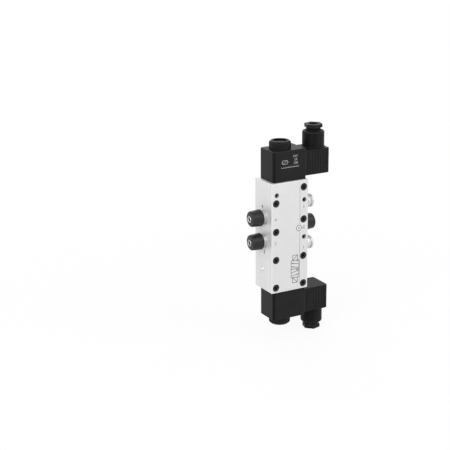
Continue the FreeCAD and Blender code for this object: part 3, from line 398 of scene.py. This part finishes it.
# Printing ink, proud of its face and sunk into it by these millimetres
ink = {"proud": 0.006, "sunk": 0.006, "rough": 0.55, "level": 0.2, "patch": 3000}


# Ink that has worn thin in patches
def inkFinish(name, colour, worn):
    finish = Finish(name, colour, ink["rough"], 0.0, Specular_IOR_Level=ink["level"])
    patch = finish.noise(ink["patch"], 2)
    finish.set("Base Color", finish.blend(finish.spread(patch, 0, 0.35), colour, worn))
    return finish.material


darkInk = inkFinish("dark_ink", (0.035, 0.035, 0.035), (0.12, 0.12, 0.12))
greyInk = inkFinish("grey_ink", (0.16, 0.16, 0.16), (0.32, 0.32, 0.32))
paleInk = inkFinish("pale_ink", (0.42, 0.42, 0.42), (0.15, 0.15, 0.15))

# Faces that carry print: a turn that takes flat x, y onto the face, and the face's distance
upright = Matrix.Rotation(math.radians(90), 4, "X")
plateFace = {"turn": upright, "offset": Vector((0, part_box("front_plate")[0].y, 0))}
leftFace = {"turn": Matrix.Rotation(math.radians(-90), 4, "Z") @ upright,
            "offset": Vector((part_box("valve_body")[0].x, 0, 0))}
coilFace = {"turn": upright, "offset": Vector((0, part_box("upper_coil_housing")[0].y, 0))}


def makePiece(name, shape, finish, body):
    mesh = bpy.data.meshes.new(name)
    shape.to_mesh(mesh)
    shape.free()
    mesh.materials.append(finish)
    piece = bpy.data.objects.new(name, mesh)
    bpy.context.scene.collection.objects.link(piece)
    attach(piece, body)


# Flat drawing in millimetres that ends up as a thin layer of ink on a face
class Drawing:
    def __init__(self):
        self.shape = bmesh.new()

    def layer(self, corners):
        near = [self.shape.verts.new((x * mm, y * mm, ink["proud"] * mm)) for x, y in corners]
        far = [self.shape.verts.new((x * mm, y * mm, -ink["sunk"] * mm)) for x, y in corners]
        self.shape.faces.new(near)
        self.shape.faces.new(far[::-1])
        for i in range(len(near)):
            k = (i + 1) % len(near)
            self.shape.faces.new((near[k], near[i], far[i], far[k]))

    def bar(self, first, last, width):
        start, end = Vector(first), Vector(last)
        along = (end - start).normalized()
        across = Vector((-along.y, along.x)) * width / 2
        self.layer([tuple(spot) for spot in (start - across, end - across, end + across, start + across)])

    def loop(self, spots, width):
        for i, spot in enumerate(spots):
            self.bar(spot, spots[(i + 1) % len(spots)], width)

    def box(self, x, y, wide, high, width):
        w, h = wide / 2, high / 2
        self.loop([(x - w, y - h), (x + w, y - h), (x + w, y + h), (x - w, y + h)], width)

    def ring(self, x, y, radius, width, count=36):
        inner, outer = radius - width / 2, radius + width / 2
        for i in range(count):
            a, b = math.tau * i / count, math.tau * (i + 1) / count
            self.layer([(x + inner * math.cos(a), y + inner * math.sin(a)),
                        (x + outer * math.cos(a), y + outer * math.sin(a)),
                        (x + outer * math.cos(b), y + outer * math.sin(b)),
                        (x + inner * math.cos(b), y + inner * math.sin(b))])

    def spot(self, x, y, radius, count=24):
        self.layer([(x + radius * math.cos(math.tau * i / count), y + radius * math.sin(math.tau * i / count))
                    for i in range(count)])

    # Digits come from the font's outlines, turned into a mesh
    def digits(self, text, x, y, size, bold=0.0):
        letter = bpy.data.curves.new("digits", "FONT")
        letter.body = text
        letter.size = size * mm
        letter.offset = bold * mm
        letter.align_x = "CENTER"
        letter.align_y = "CENTER"
        letter.extrude = (ink["proud"] + ink["sunk"]) / 2 * mm
        carrier = bpy.data.objects.new("digits", letter)
        flat = bpy.data.meshes.new_from_object(carrier)
        bpy.data.objects.remove(carrier)
        flat.transform(Matrix.Translation(Vector((x, y, (ink["proud"] - ink["sunk"]) / 2)) * mm))
        self.shape.from_mesh(flat)

    def lay(self, name, face, finish, slot, body="valve"):
        self.shape.transform(Matrix.Translation(face["offset"]) @ face["turn"])
        makePiece(name, self.shape, finish, body)


# Port numbers on the front plate and, for the left ports, on the side too
portDigits = {
    "4": {"x": -13.4, "y": 16.4, "size": 4.0, "finish": greyInk, "face": plateFace},
    "2": {"x": -13.5, "y": -3.6, "size": 4.0, "finish": greyInk, "face": plateFace},
    "5": {"x": 12.9, "y": 23.6, "size": 3.4, "finish": greyInk, "face": plateFace},
    "1": {"x": 13.2, "y": 6.3, "size": 4.6, "bold": 0.12, "finish": greyInk, "face": plateFace},
    "3": {"x": 12.9, "y": -11.2, "size": 3.4, "finish": greyInk, "face": plateFace},
    "4 side": {"x": 11.7, "y": 24.4, "size": 4.4, "bold": 0.12, "finish": darkInk, "face": leftFace},
    "2 side": {"x": 14.8, "y": -12.9, "size": 4.4, "bold": 0.12, "finish": darkInk, "face": leftFace},
}


def addDigits(name, made):
    drawing = Drawing()
    drawing.digits(name[0], made["x"], made["y"], made["size"], made.get("bold", 0.0))
    drawing.lay("port_digit_" + name.replace(" ", "_"), made["face"], made["finish"], "aluminium_body")


for name, made in portDigits.items():
    addDigits(name, made)

# Schematic of the valve, printed low on the plate: two position boxes and a coil box at each end
valveSymbol = {"x": 5.0, "y": -28.0, "box": 7.4, "line": 0.42, "coil": 4.4, "coilHalf": 2.294, "reach": 3.256,
               "ways": (-1.85, 1.11), "drop": 0.37, "lift": 0.925, "arrow": 1.5, "wing": 0.45,
               "stop": {"y": 2.886, "reach": 1.3024, "half": 0.37}}


def addSymbol(made):
    drawing = Drawing()
    x, y, line, box, reach = (made[key] for key in ("x", "y", "line", "box", "reach"))
    for middle, lean in ((y - box / 2, 1), (y + box / 2, -1)):
        drawing.box(x, middle, box, box, line)
        for step in made["ways"]:
            low = Vector((x - reach, middle + step - made["drop"] * lean))
            high = Vector((x + reach, middle + step + made["lift"] * lean))
            drawing.bar(low, high, line)
            tip, tail = (high, low) if lean > 0 else (low, high)
            back = (tail - tip).normalized() * made["arrow"]
            wing = Vector((-back.y, back.x)) * made["wing"]
            drawing.layer([tuple(tip), tuple(tip + back - wing), tuple(tip + back + wing)])
        stop, level = made["stop"], middle + made["stop"]["y"]
        end = x + stop["reach"]
        drawing.bar((x + reach, level), (end, level), line)
        drawing.bar((end, level - stop["half"]), (end, level + stop["half"]), line)
    for way in (-1, 1):
        start, wide = y + way * box, made["coilHalf"]
        drawing.box(x, start + way * made["coil"] / 2, wide * 2, made["coil"], line)
        drawing.bar((x - wide, start), (x + wide, start + way * made["coil"]), line)
    drawing.lay("valve_symbol", plateFace, darkInk, "aluminium_body")


addSymbol(valveSymbol)

# Air supply symbol beside port 1 and the fine line over the pilot channel
supplyMark = {"x": 8.4, "y": 6.3, "radius": 2.4, "line": 0.4, "dot": 0.6, "lead": 1.6}
channelLine = {"x": 9.2, "spans": [(41.5, 35.0), (34.0, 9.3), (3.3, -41.0)], "width": 0.26}


def addLines(mark, line):
    drawing = Drawing()
    x, y = mark["x"], mark["y"]
    drawing.ring(x, y, mark["radius"], mark["line"])
    drawing.spot(x, y, mark["dot"])
    drawing.bar((x + mark["radius"], y), (x + mark["radius"] + mark["lead"], y), mark["line"])
    drawing.lay("supply_mark", plateFace, darkInk, "aluminium_body")
    drawing = Drawing()
    for high, low in line["spans"]:
        drawing.bar((line["x"], low), (line["x"], high), line["width"])
    drawing.lay("channel_line", plateFace, greyInk, "aluminium_body")


addLines(supplyMark, channelLine)

# Print on the upper coil's front: coil symbol, direct current symbol, two ratings and a rule under them
coilPrint = {
    "line": 0.34,
    "current": {"x": 3.9, "y": 20.0, "wide": 4.4, "half": 0.5, "dash": 1.2, "step": 1.6, "count": 3},
    "coil": {"x": -3.6, "y": 15.75, "wide": 4.6, "high": 3.0, "lead": 1.2},
    "ratings": {"x": 6.3, "size": 3.0, "rows": (("24", 17.2), ("100", 14.3))},
    "rule": {"left": -6.9, "right": 9.3, "y": 11.3, "first": -6.7, "step": 2.0, "tick": 0.9, "count": 9},
}


def addCoilPrint(made, low):
    drawing, line = Drawing(), made["line"]
    current, coil, ratings, rule = (made[key] for key in ("current", "coil", "ratings", "rule"))
    high, under = low + current["y"] + current["half"], low + current["y"] - current["half"]
    drawing.bar((current["x"], high), (current["x"] + current["wide"], high), line)
    for i in range(current["count"]):
        start = current["x"] + i * current["step"]
        drawing.bar((start, under), (start + current["dash"], under), line)
    x, y, w, h = coil["x"], low + coil["y"], coil["wide"] / 2, coil["high"] / 2
    drawing.box(x, y, coil["wide"], coil["high"], line)
    drawing.bar((x - w, y - h), (x + w, y + h), line)
    for side in (-1, 1):
        drawing.bar((x + side * w, y), (x + side * (w + coil["lead"]), y), line)
    for text, row in ratings["rows"]:
        drawing.digits(text, ratings["x"], low + row, ratings["size"])
    level = low + rule["y"]
    drawing.bar((rule["left"], level), (rule["right"], level), line)
    for i in range(rule["count"]):
        mark = rule["first"] + i * rule["step"]
        drawing.bar((mark, level), (mark, level + rule["tick"]), line)
    drawing.lay("upper_coil_print", coilFace, paleInk, "coil_plastic")


addCoilPrint(coilPrint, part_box("upper_coil_housing")[0].z / mm)
print("marks printed")


# The floor glows white for the camera, a little less round the object so that the shadow shows
stage = {"reach": 6.0, "below": 0.0002, "rough": 0.8, "level": 0.1, "grain": 300, "low": (0.89, 0.89, 0.89),
         "middle": (0.9, 0.9, 0.9), "high": (0.91, 0.91, 0.91), "dim": 0.9, "near": 0.05, "far": 0.45}


def addStage(made, low):
    mesh = bpy.data.meshes.new("floor")
    shape = bmesh.new()
    reach = made["reach"]
    corners = [(-reach, -reach), (reach, -reach), (reach, reach), (-reach, reach)]
    shape.faces.new([shape.verts.new((x, y, 0)) for x, y in corners])
    shape.to_mesh(mesh)
    shape.free()
    floor = bpy.data.objects.new("floor", mesh)
    floor.location.z = low - made["below"]
    bpy.context.scene.collection.objects.link(floor)
    finish = Finish("pale_floor", made["middle"], made["rough"], 0.0, Specular_IOR_Level=made["level"])
    grain = finish.noise(made["grain"], 2)
    finish.set("Base Color", finish.blend(finish.spread(grain, 0, 1), made["low"], made["high"]))
    glow = finish.node("Emission", {}, {"Color": (1, 1, 1), "Strength": 1.0})
    seen = finish.rays("Is Camera Ray") + finish.rays("Is Glossy Ray")
    away = finish.node("VectorMath", {"operation": "LENGTH"}, {0: finish.place()}, "Value")
    share = seen * finish.spread(away, made["dim"], 1.0, made["near"], made["far"])
    plain = Flow(finish, finish.shader.outputs[0])
    mixed = finish.node("MixShader", {}, {0: share, 1: plain, 2: glow})
    finish.feed(finish.tree.nodes["Material Output"].inputs[0], mixed)
    mesh.materials.append(finish.material)


# White for camera, glossy and transmission rays, dimmer for the light that falls on the object
sky = {"colour": (1, 1, 1), "strength": 0.55}


def addWorld(made):
    world = bpy.data.worlds.new("studio")
    world.use_nodes = True
    bpy.context.scene.world = world
    graph = Graph(world.node_tree)
    ground = graph.tree.nodes["Background"]
    seen = graph.rays("Is Camera Ray") + graph.rays("Is Glossy Ray") + graph.rays("Is Transmission Ray")
    share = seen > 0.5
    graph.feed(ground.inputs["Color"], made["colour"])
    graph.feed(ground.inputs["Strength"], share * (1 - made["strength"]) + made["strength"])


# Area lamps in metres and watts, all aimed at the origin
lamps = {
    "key": {"place": (-1.0, -0.6, 0.6), "size": 0.7, "power": 9.0},
    "fill": {"place": (0.4, -0.55, 0.5), "size": 0.5, "power": 1.7},
    "side": {"place": (1.1, 0.15, 0.2), "size": 0.6, "power": 1.5},
    "back": {"place": (0.3, 0.9, 0.8), "size": 0.8, "power": 3.0},
}


def addLamp(name, made):
    light = bpy.data.lights.new(name, "AREA")
    light.size = made["size"]
    light.energy = made["power"]
    lamp = bpy.data.objects.new(name, light)
    lamp.location = made["place"]
    lamp.rotation_euler = (-Vector(made["place"])).to_track_quat("-Z", "Y").to_euler()
    bpy.context.scene.collection.objects.link(lamp)


addStage(stage, cadBounds[0][2])
addWorld(sky)
for name, made in lamps.items():
    addLamp(name, made)
bpy.context.scene.view_settings.view_transform = "Standard"
print("stage and light set")
